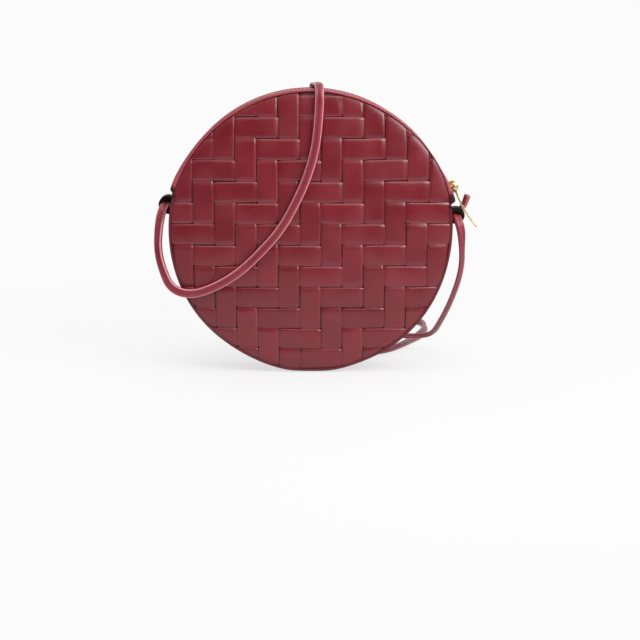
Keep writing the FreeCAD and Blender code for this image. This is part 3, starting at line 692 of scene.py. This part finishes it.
def woven_layer(over, rng, rows=136):
    """All the strips of one direction: their distance along and across the panel, their height out of
    it and their shade, as arrays of strip by row by section point."""
    section_across, section_out = strip_section()
    centre = (np.arange(STRIP_COUNT) - (STRIP_COUNT - 1) / 2) * STRIP_PITCH
    phase = rng.uniform(0, 2 * np.pi, (3, STRIP_COUNT, 1, 1))
    length = rng.uniform(*UNEVEN_LENGTHS, (3, STRIP_COUNT, 1, 1)) * MM
    across = centre[:, None, None] + section_across[None, None, :]
    across = np.clip(across, -WEAVE_RADIUS + RIM_INSET, WEAVE_RADIUS - RIM_INSET)
    reach = np.sqrt(WEAVE_RADIUS ** 2 - across ** 2)
    along = reach * np.linspace(-1, 1, rows)[None, :, None]
    wave = np.sin(2 * np.pi * along[None] / length[..., 0, None] + phase)
    height = weave_height(along, over)
    radius = np.hypot(along, across)
    pressed = PRESS_SHARE + (1 - PRESS_SHARE) * smooth_step((WEAVE_RADIUS - radius) / PRESS_REACH)
    tilt = UNEVEN_TILT * wave[0] * section_across
    out = WEAVE_LIFT * height * pressed + section_out + tilt + UNEVEN_RISE * wave[1]
    across = across + UNEVEN_DRIFT * wave[2] * pressed
    tone = rng.uniform(*TONES, (STRIP_COUNT, 1, 1))
    # The darkening where a strip dives under is painted shade, and the pale fold on its floats is a painted
    # highlight.
    fold = smooth_step((np.abs(section_across) / (STRIP_WIDTH / 2) - 1 + FOLD_SHARE) / FOLD_SHARE)
    painted_highlight = FOLD_HIGHLIGHT * fold * smooth_step(height) * smooth_step((WEAVE_RADIUS - radius) / FOLD_REACH)
    shade = tone * (UNDER_SHADE + (1 - UNDER_SHADE) * smooth_step(height + UNDER_HEIGHT)) + painted_highlight
    return along, across, WEAVE_MIDDLE + dome(radius) + out, shade


# %% [markdown]
# A panel is two such layers, one upright and one across, whose tables are each other's opposite: where one is
# over, the other is under. A fixed seed for each panel gives the same strips on every run.

# %% Woven panels
SIDES = (("front", -1), ("rear", 1))
PANEL_SEEDS = {"front": 11, "rear": 23}
FLOAT_LENGTH = 2


def woven_panel(side, sign, seed):
    """One panel: the upright strips and the strips across it, as one mesh of separate ribbons."""
    rng = np.random.default_rng(seed)
    row, column = np.indices((STRIP_COUNT, STRIP_COUNT))
    over = np.where((row + column) % (2 * FLOAT_LENGTH) < FLOAT_LENGTH, 1.0, -1.0)
    up, over_x, up_out, up_shade = woven_layer(over, rng)
    side_x, side_z, side_out, side_shade = woven_layer(-over.T, rng)
    upright = np.stack([over_x, sign * up_out, AXIS_Z + up], axis=-1)
    crosswise = np.stack([side_x, sign * side_out, AXIS_Z + side_z], axis=-1)
    points = settled(np.concatenate([upright, crosswise]))
    points[..., 2] = above_foot(points[..., 2], WEAVE_FOOT)
    strips, rows, around = points.shape[:3]
    faces = repeated(tube_faces(rows, around), strips, rows * around)
    shade = np.concatenate([up_shade, side_shade])
    new_piece(side + "_woven_panel", points, faces, panel_leather,
              replaces=(side + "_panel",), shade=np.broadcast_to(shade, points.shape[:3]))


for side, sign in SIDES:
    woven_panel(side, sign, PANEL_SEEDS[side])

# %% [markdown]
# Behind the strips lies a thin ground of the same leather, darkened with painted shade, so that the corners
# between strips look into shaded leather and not through the bag. It is a thin domed disc turned about the
# bag's axis: rings of points go from the middle out along its face, and back in along its other side.

# %% Discs behind the weave
GROUND_WALL = 0.1 * MM
# The ground's darker colour is painted shade between the strips.
GROUND_PAINTED_SHADE = 0.4
out = np.linspace(0.02, 1, 26) * WEAVE_RADIUS
back = out[::-1]
radius = np.concatenate([out, back])[:, None]
depth = np.concatenate([PANEL_BACK + dome(out), PANEL_BACK - GROUND_WALL + dome(back)])[:, None]
angle = np.linspace(0, 2 * np.pi, 97)[:-1]
for side, sign in SIDES:
    points = settled(round_the_axis(radius, sign * depth, angle[None, :]))
    new_piece(side + "_weave_ground", points, tube_faces(*points.shape[:2]), panel_leather,
              shade=np.full(points.shape[:2], GROUND_PAINTED_SHADE))

# %% [markdown]
# The strips round the body are bent bands: a section in radius and depth, carried round the axis. The
# lower gusset sags a little between its seams, and the narrow rims are rounded bindings that cover the
# cut ends of the weave.

# %% Bands round the body
def band(name, outline, start, end, finish=edge_leather, replaces=(), reach=0.4 * MM,
         step=1.2 * MM, end_round=0.0, shade=1.0, lift=None, settle=False, paint=None):
    """A section carried round the axis from one angle to another. Over end_round at each end its
    radial thickness closes up like a quarter circle. Over the two lengths of paint, or twice end_round,
    the leather goes dark. A lift, if there is one, is added to the radius by angle and section point."""
    section = rounded(outline, reach)
    count = int((end - start) * BAG_RADIUS / step) + 1
    angle = np.linspace(start, end, count)
    nearest_end = np.minimum(angle - start, end - angle) * BAG_RADIUS
    closing = np.ones(count)
    if end_round:
        closing = np.sqrt(1 - (1 - np.clip(nearest_end / end_round, 0.02, 1)) ** 2)
    radius = np.tile(section[:, 0], (count, 1))
    if lift:
        radius = radius + lift(angle[:, None], section)
    middle = radius.mean(1, keepdims=True)
    radius = middle + (radius - middle) * closing[:, None]
    points = round_the_axis(radius, section[:, 1][None], angle[:, None])
    if settle:
        points = settled(points)
    shades = np.ones((count, 1)) * np.full(len(section), shade)
    if end_round:
        first, last = paint or (2 * end_round, 2 * end_round)
        plain = np.minimum((angle - start) * BAG_RADIUS / first, (end - angle) * BAG_RADIUS / last)
        shades = shades * (0.05 + 0.95 * smooth_step(2.5 * plain - 1.5))[:, None]
    faces = tube_faces(count, len(section))
    new_piece(name, points, faces, finish, replaces=replaces, shade=shades)


def box_outline(inner, outer, first, last):
    """The four corners of a plain section."""
    return [(inner, first), (outer, first), (outer, last), (inner, last)]


LOWER_GAP = 0.002
LOWER_START = ZIP_END + LOWER_GAP
LOWER_END = ZIP_START - LOWER_GAP + 2 * np.pi
GUSSET_WALL = 1.8 * MM
GUSSET_SAG = 0.7 * MM
across_gusset = np.linspace(-1, 1, 9)
gusset_sagged = BAG_RADIUS - GUSSET_SAG * (1 - across_gusset ** 2)
gusset_top = np.stack([gusset_sagged, across_gusset * GUSSET_HALF], axis=1)
gusset_outline = np.concatenate([gusset_top, (gusset_top - [GUSSET_WALL, 0])[::-1]])
band("gusset", gusset_outline, LOWER_START, LOWER_END, replaces=("lower_gusset",), settle=True)

rim_low, rim_high = corners_of("rear_rim")
RIM_OUTER = (rim_high[0] - rim_low[0]) / 2
RIM_WIDTH = 1.7 * MM
RIM_FRONT = WEAVE_MIDDLE + 0.3 * MM
RIM_ROUNDING = MM * np.array([0.3, 0.3, 0.8, 0.6])
# The bindings are darkened: dark edge paint, and painted shade for a rim that faces down and away from the lamps.
RIM_PAINT_AND_SHADE = 0.4
for side, sign in SIDES:
    outline = box_outline(RIM_OUTER - RIM_WIDTH, RIM_OUTER, sign * rim_low[1], sign * RIM_FRONT)
    band(side + "_rim_binding", outline, LOWER_START, LOWER_END, replaces=(side + "_rim",),
         reach=RIM_ROUNDING, end_round=2 * MM, shade=RIM_PAINT_AND_SHADE, settle=True)

# %% [markdown]
# The zip's facings stand proud of the body all along the top. Each is one folded strip of leather: a
# hem beside the zip with a row of stitches, and a rolled lip over the panel's edge, which from the front
# is the paler line round the upper half of the bag, its rounded fold made paler still by a painted highlight.
# The lips cup out towards their ends, the rear one lies lower along the top, and the ends are rounded over and
# painted dark.

# %% Facings
HEM_SEAM = FACING_EDGE + 2.2 * MM
HEM_TOP = FACING_TOP - 0.3 * MM
LIP_INNER = FACING_TOP - 2.3 * MM
WEB_INNER = FACING_TOP - 1.2 * MM
LIP_BACK = FACING_FRONT - 4.0 * MM
LIP_RISE = {"front": np.array([(12, 3.4), (14, 3.4), (20, 2.5), (26, 1.2), (34, 0.65), (42, 0.8), (50, 0.75),
                               (58, 0.6), (66, 0.2), (78, 0), (136, 0), (146, 0.25), (152, 0.85), (158, 1.5),
                               (163, 1.6)]),
            "rear": np.concatenate([[(12, 1.0)], REAR_SINK])}
FACING_PAINT = (9.0 * MM, 5.0 * MM)
FACING_ROUNDING = MM * np.array([0.4, 0.45, 0.25, 0.25, 0.25, 1.7, 0.5, 0.4, 0.3])
SEAM_HALF, SEAM_DEPTH = 0.8 * MM, 0.2 * MM
SEAM_INSET = 0.04


def lip_share(y):
    """How much of the lip's lift a place shares: none at the hem, all of it near the lip."""
    return smooth_step((np.abs(y) - HEM_SEAM - MM) / (FACING_FRONT - HEM_SEAM - 2.5 * MM))


def lip_lift(side):
    """The lift of a facing's lip: its outer side by the measured rise, given by angle in degrees and
    millimetres, and its inner side with the settled rim."""
    def lift(angle, section):
        rise = MM * np.interp(np.degrees(angle), LIP_RISE[side][:, 0], LIP_RISE[side][:, 1])
        outer = smooth_step((section[:, 0] - LIP_INNER) / (FACING_TOP - LIP_INNER))
        inner_move = rim_shift(angle) if side == "front" else rear_shift(angle)
        return lip_share(section[:, 1]) * (outer * rise + (1 - outer) * inner_move)
    return lift


for side, sign in SIDES:
    profile = np.array([
        (WEB_INNER, FACING_EDGE), (HEM_TOP, FACING_EDGE), (HEM_TOP, HEM_SEAM - SEAM_HALF),
        (HEM_TOP - SEAM_DEPTH, HEM_SEAM), (HEM_TOP, HEM_SEAM + SEAM_HALF), (FACING_TOP, FACING_FRONT),
        (LIP_INNER, FACING_FRONT - 0.2 * MM), (LIP_INNER, LIP_BACK), (WEB_INNER, LIP_BACK)])
    profile[:, 1] *= sign
    section = rounded(profile, FACING_ROUNDING)
    # The lip's rounded fold is made paler: a painted highlight.
    fold = smooth_step((np.abs(section[:, 1]) - FACING_FRONT + 2 * MM) / MM)
    fold = fold * (section[:, 0] > LIP_INNER + 0.6 * MM)
    band(side + "_facing", profile, ZIP_START, ZIP_END, replaces=(side + "_zip_facing",), end_round=2.0 * MM,
         paint=FACING_PAINT, lift=lip_lift(side), reach=FACING_ROUNDING, shade=1 + 0.2 * fold)
    angle = np.arange(ZIP_START + SEAM_INSET, ZIP_END - SEAM_INSET, STITCH_PITCH / FACING_TOP)
    seam = round_the_axis(HEM_TOP - SEAM_DEPTH, sign * HEM_SEAM, angle)
    along = np.stack([-np.sin(angle), 0 * angle, np.cos(angle)], axis=1)
    out = np.stack([np.cos(angle), 0 * angle, np.sin(angle)], axis=1)
    stitches(side + "_facing_stitches", seam, along, out, thread)

# %% [markdown]
# Two woven tapes carry the teeth. They are thin bands with rounded edges, and a strip of lining lies under
# each. Where the rear facing has sunk, both go down with it. The leather tabs over the ends of the zip are
# short bands with all edges rounded.

# %% Tapes and end tabs
CLOTH_WALL = 0.6 * MM


def sunk(angle, section):
    """The lift that takes a strip down with the sunk rear facing, and leaves the front ones alone."""
    return rear_shift(angle) * lip_share(section[:, 1]) * (section[:, 1] > 0)


for layer, finish, slot in (("tape", tape_cloth, "zip_tape"), ("lining", lining_cloth, "lining_fabric")):
    low, high = corners_of("rear_zip_" + layer)
    outer = high[2] - AXIS_Z
    for side, sign in SIDES:
        outline = box_outline(outer - CLOTH_WALL, outer, sign * low[1], sign * high[1])
        band(side + "_" + layer + "_strip", outline, ZIP_START, ZIP_END, finish,
             replaces=(side + "_zip_" + layer,), reach=0.2 * MM, lift=sunk)


def middle_angle(low, high):
    """The angle round the bag's axis of the middle of a box."""
    middle = (low + high) / 2
    return np.arctan2(middle[2] - AXIS_Z, middle[0])


half = 2.8 * MM / FACING_TOP
for side in ("left", "right"):
    low, high = corners_of(side + "_end_tab")
    angle = middle_angle(low, high)
    outline = box_outline(WEB_INNER, FACING_TOP, low[1], high[1])
    band(side + "_tab", outline, angle - half, angle + half, replaces=(side + "_end_tab",), reach=0.55 * MM,
         step=0.5 * MM, end_round=0.9 * MM)

# %% [markdown]
# The strap loops are short straps folded into an arch. Their section is carried along a path of a leg, a
# half circle and a leg. The legs are pinched together at the root, where they are sewn into the seam, and
# the cut edges, which face the front and the back, are painted nearly black. The rest of each loop is near
# black as well, as painted shade, and an extra wall inside the arch fills the shaded hole round the strap
# with that dark leather.

# %% Strap loops
LOOP_WALL = 2.6 * MM
# The extra inner wall fills the arch's shaded hole with near-black leather, a dark fill for shade.
LOOP_SHADE_FILL = 1.1 * MM
LOOP_HALF_HEIGHT = 6.5 * MM
LOOP_HALF_WIDTH = 6.0 * MM
LOOP_FOOT = BAG_RADIUS + 0.2 * MM
LOOP_EYE = BAG_RADIUS + 3.0 * MM
LOOP_ROOT = 2.2 * MM
LOOP_PULL = {"left": 0.0, "right": 0.8 * MM}
LEG_POINTS = 5


def loop_path(pull, count=28):
    """Out along one leg, round half a circle and back along the other, as radius and height, with the
    direction that points out of the arch at each place. A pull makes the arch longer and flatter."""
    bend = LOOP_HALF_HEIGHT - LOOP_WALL / 2 - pull
    turn = np.linspace(-np.pi / 2, np.pi / 2, count)
    eye = LOOP_EYE + 2.6 * pull
    leg = np.linspace(LOOP_FOOT, eye, LEG_POINTS + 1)[:-1]
    ones = np.ones(LEG_POINTS)
    radius = np.concatenate([leg, eye + bend * np.cos(turn), leg[::-1]])
    out_turn = np.concatenate([-np.pi / 2 * ones, turn, np.pi / 2 * ones])
    height = bend * np.sin(out_turn)
    return radius, height, np.cos(out_turn), np.sin(out_turn)


corners = box_outline(-LOOP_HALF_WIDTH, LOOP_HALF_WIDTH, -LOOP_WALL / 2, LOOP_WALL / 2)
section = rounded(corners, 0.8 * MM)
painted = smooth_step((LOOP_HALF_WIDTH - np.abs(section[:, 0]) - 0.2 * MM) / (0.8 * MM))
for side in ("left", "right"):
    angle = middle_angle(*corners_of(side + "_strap_loop"))
    radius, height, out_radius, out_height = loop_path(LOOP_PULL[side])
    root = smooth_step((LOOP_EYE - radius) / (LOOP_EYE - LOOP_FOOT))[:, None]
    offset = section[:, 1] - (LOOP_SHADE_FILL + LOOP_ROOT * root) * (section[:, 1] < 0)
    reach = radius[:, None] + out_radius[:, None] * offset
    rise = LOOP_PULL[side] + height[:, None] + out_height[:, None] * offset
    points = np.stack([reach * np.cos(angle) - rise * np.sin(angle),
                       np.broadcast_to(section[:, 0], reach.shape),
                       AXIS_Z + reach * np.sin(angle) + rise * np.cos(angle)], axis=-1)
    new_piece(side + "_loop", points, tube_faces(*points.shape[:2]), loop_leather,
              replaces=(side + "_strap_loop",), shade=np.broadcast_to(painted, points.shape[:2]))

# %% [markdown]
# The metal pieces keep the shapes that the frame gives them, and only need softer edges to catch light.
# A copy of each is merged into clean faces and given a fine bevel, and the copy stands for the node.

# %% Metal with soft edges
def softened(node, name, body, width):
    """A copy of a CAD node with its triangles merged and its sharp edges beveled."""
    mesh = frame["nodes"][node].data.copy()
    mesh.materials.clear()
    work = bmesh.new()
    work.from_mesh(mesh)
    bmesh.ops.remove_doubles(work, verts=work.verts, dist=0.002 * MM)
    bmesh.ops.dissolve_limit(work, angle_limit=np.radians(2.0), verts=work.verts, edges=work.edges)
    work.to_mesh(mesh)
    work.free()
    mesh.materials.append(gold)
    piece = placed(name, mesh)
    bevel = piece.modifiers.new("soft_edges", "BEVEL")
    bevel.width = width
    bevel.segments = 2
    bevel.limit_method = "ANGLE"
    bevel.angle_limit = np.radians(28.0)
    bevel.harden_normals = True
    mesh.polygons.foreach_set("use_smooth", np.ones(len(mesh.polygons), bool))
    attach(piece, body)
    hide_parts(node)
    print("%-20s %6d faces before its bevel" % (name, len(mesh.polygons)))


softened("zip_slider", "slider_casting", "slider", 0.3 * MM)
softened("zip_pull", "pull_blade", "pull", 0.22 * MM)
for node in ("front_zip_teeth", "rear_zip_teeth", "zip_top_stops", "zip_bottom_stop"):
    softened(node, node + "_metal", "bag", 0.14 * MM)

# %% [markdown]
# The pull hangs on a pin, and the pin is riveted over at both ends. A rivet head is a shallow dome: rings of
# points about the swing's axis, from a rim of full radius to a small flat top.

# %% Pin heads of the pull
HEAD_RADIUS = 2.7 * MM
HEAD_HEIGHT = 1.2 * MM
HEAD_SIDES = 24
pull_high = corners_of("zip_pull")[1]
dome_turn = np.linspace(0, 1.45, 7)
head_radius = HEAD_RADIUS * np.concatenate([[1], np.cos(dome_turn)])
head_out = pull_high[1] + np.concatenate([[-0.1 * MM], HEAD_HEIGHT * np.sin(dome_turn)])
around = np.arange(HEAD_SIDES) / HEAD_SIDES * 2 * np.pi
for side, sign in SIDES:
    ring = np.stack([head_radius[:, None] * np.cos(around), sign * head_out[:, None] + 0 * around,
                     head_radius[:, None] * np.sin(around)], axis=-1)
    new_piece(side + "_pin_head", ring + pivot_of("pull_swing"), tube_faces(*ring.shape[:2]), gold,
              body="pull")

# %% [markdown]
# The rest of the frame is inside the bag and keeps its shape. Each node gets the finish of the material slot
# that the record gives it.

# %% Finishes of the frame's own nodes
for part in frame["record"]["subparts"]:
    node = frame["nodes"][part["node"]]
    node.data.materials.clear()
    node.data.materials.append(FINISH_OF_SLOT[part["material_slot"]])

# %% [markdown]
# The set is a pale floor that runs past the frame on all sides. Seen directly it is nearly white, with
# only part of its shading left, so the contact shadow stays but the ground doesn't go grey.

# %% Floor
FLOOR_HALF = 200.0
FLOOR_WHITE = (0.965, 0.965, 0.965)


def pale_floor():
    """White paint, of which camera and mirror rays see mostly its own even white. In a reflection the
    white is the tabletop near the bag, and it dims towards the table's far edges."""
    material, tree, shader, coordinates = new_material("pale_floor")
    paper = noise(tree, coordinates, 3.0)
    paint = mixed(tree, paper, (0.74, 0.74, 0.74), (0.76, 0.76, 0.76))
    feed(tree, shader, {"Base Color": paint, "Roughness": 0.9})
    rays = add_node(tree, "LightPath").outputs
    seen = rays["Is Camera Ray"]
    for ray in ("Is Glossy Ray", "Is Transmission Ray"):
        seen = combined(tree, "MAXIMUM", seen, rays[ray])
    away = add_node(tree, "VectorMath", {0: coordinates}, operation="LENGTH").outputs["Value"]
    near = ramp(tree, away, 0.7, 0.9, 0.04, 0.16)
    far = ramp(tree, away, 0.0, 0.1, 0.25, 0.6)
    share = combined(tree, "MULTIPLY", seen, combined(tree, "ADD", near, far))
    table = ramp(tree, away, 1.0, 0.1, 0.25, 0.75)
    strength = combined(tree, "MAXIMUM", table, rays["Is Camera Ray"])
    glow = add_node(tree, "Emission", {"Color": (*FLOOR_WHITE, 1.0), "Strength": strength})
    mix = add_node(tree, "MixShader", {0: share, 1: shader.outputs[0], 2: glow.outputs[0]})
    tree.links.new(mix.outputs[0], tree.nodes["Material Output"].inputs["Surface"])
    return material


floor_mesh = bpy.data.meshes.new("floor")
floor_corners = FLOOR_HALF * np.array([(-1, -1, 0), (1, -1, 0), (1, 1, 0), (-1, 1, 0)])
floor_mesh.from_pydata(floor_corners.tolist(), [], [(0, 1, 2, 3)])
floor_mesh.materials.append(pale_floor())
floor = placed("floor", floor_mesh)

# %% [markdown]
# The light is that of a product table: a pale surround above and behind, the darker room behind the
# camera, one large soft lamp above, a smaller one from the right and a weaker one from the left.
# Together they light a surface at about its written colour.

# %% Light
world = bpy.data.worlds.new("surround")
bpy.context.scene.world = world
world.use_nodes = True
surround = world.node_tree
toward = add_node(surround, "TexCoord").outputs["Generated"]
toward = add_node(surround, "SeparateXYZ", {"Vector": toward}).outputs
pale = combined(surround, "MAXIMUM", ramp(surround, toward["Z"], 0.0, 1.0, 0.1, 0.7),
                ramp(surround, toward["Y"], 0.0, 1.0, -0.2, 0.5))
room = mixed(surround, pale, (0.05, 0.05, 0.05), (0.8, 0.8, 0.8))
surround.links.new(room, surround.nodes["Background"].inputs["Color"])


def soft_lamp(name, place, size, watts):
    """A square area lamp that looks at the middle of the bag."""
    lamp = bpy.data.lights.new(name, "AREA")
    lamp.size = size
    lamp.energy = watts
    aim(placed(name, lamp), place, Vector((0, 0, AXIS_Z)) - Vector(place))


soft_lamp("top_lamp", (0.25, -0.45, 1.4), 1.2, 7.6)
soft_lamp("key_lamp", (0.54, -0.57, 0.53), 0.46, 5.6)
soft_lamp("fill_lamp", (-1.0, -0.6, 0.75), 0.7, 1.0)
bpy.context.scene.view_settings.view_transform = "Standard"
print(len(bpy.data.lights), "lamps")
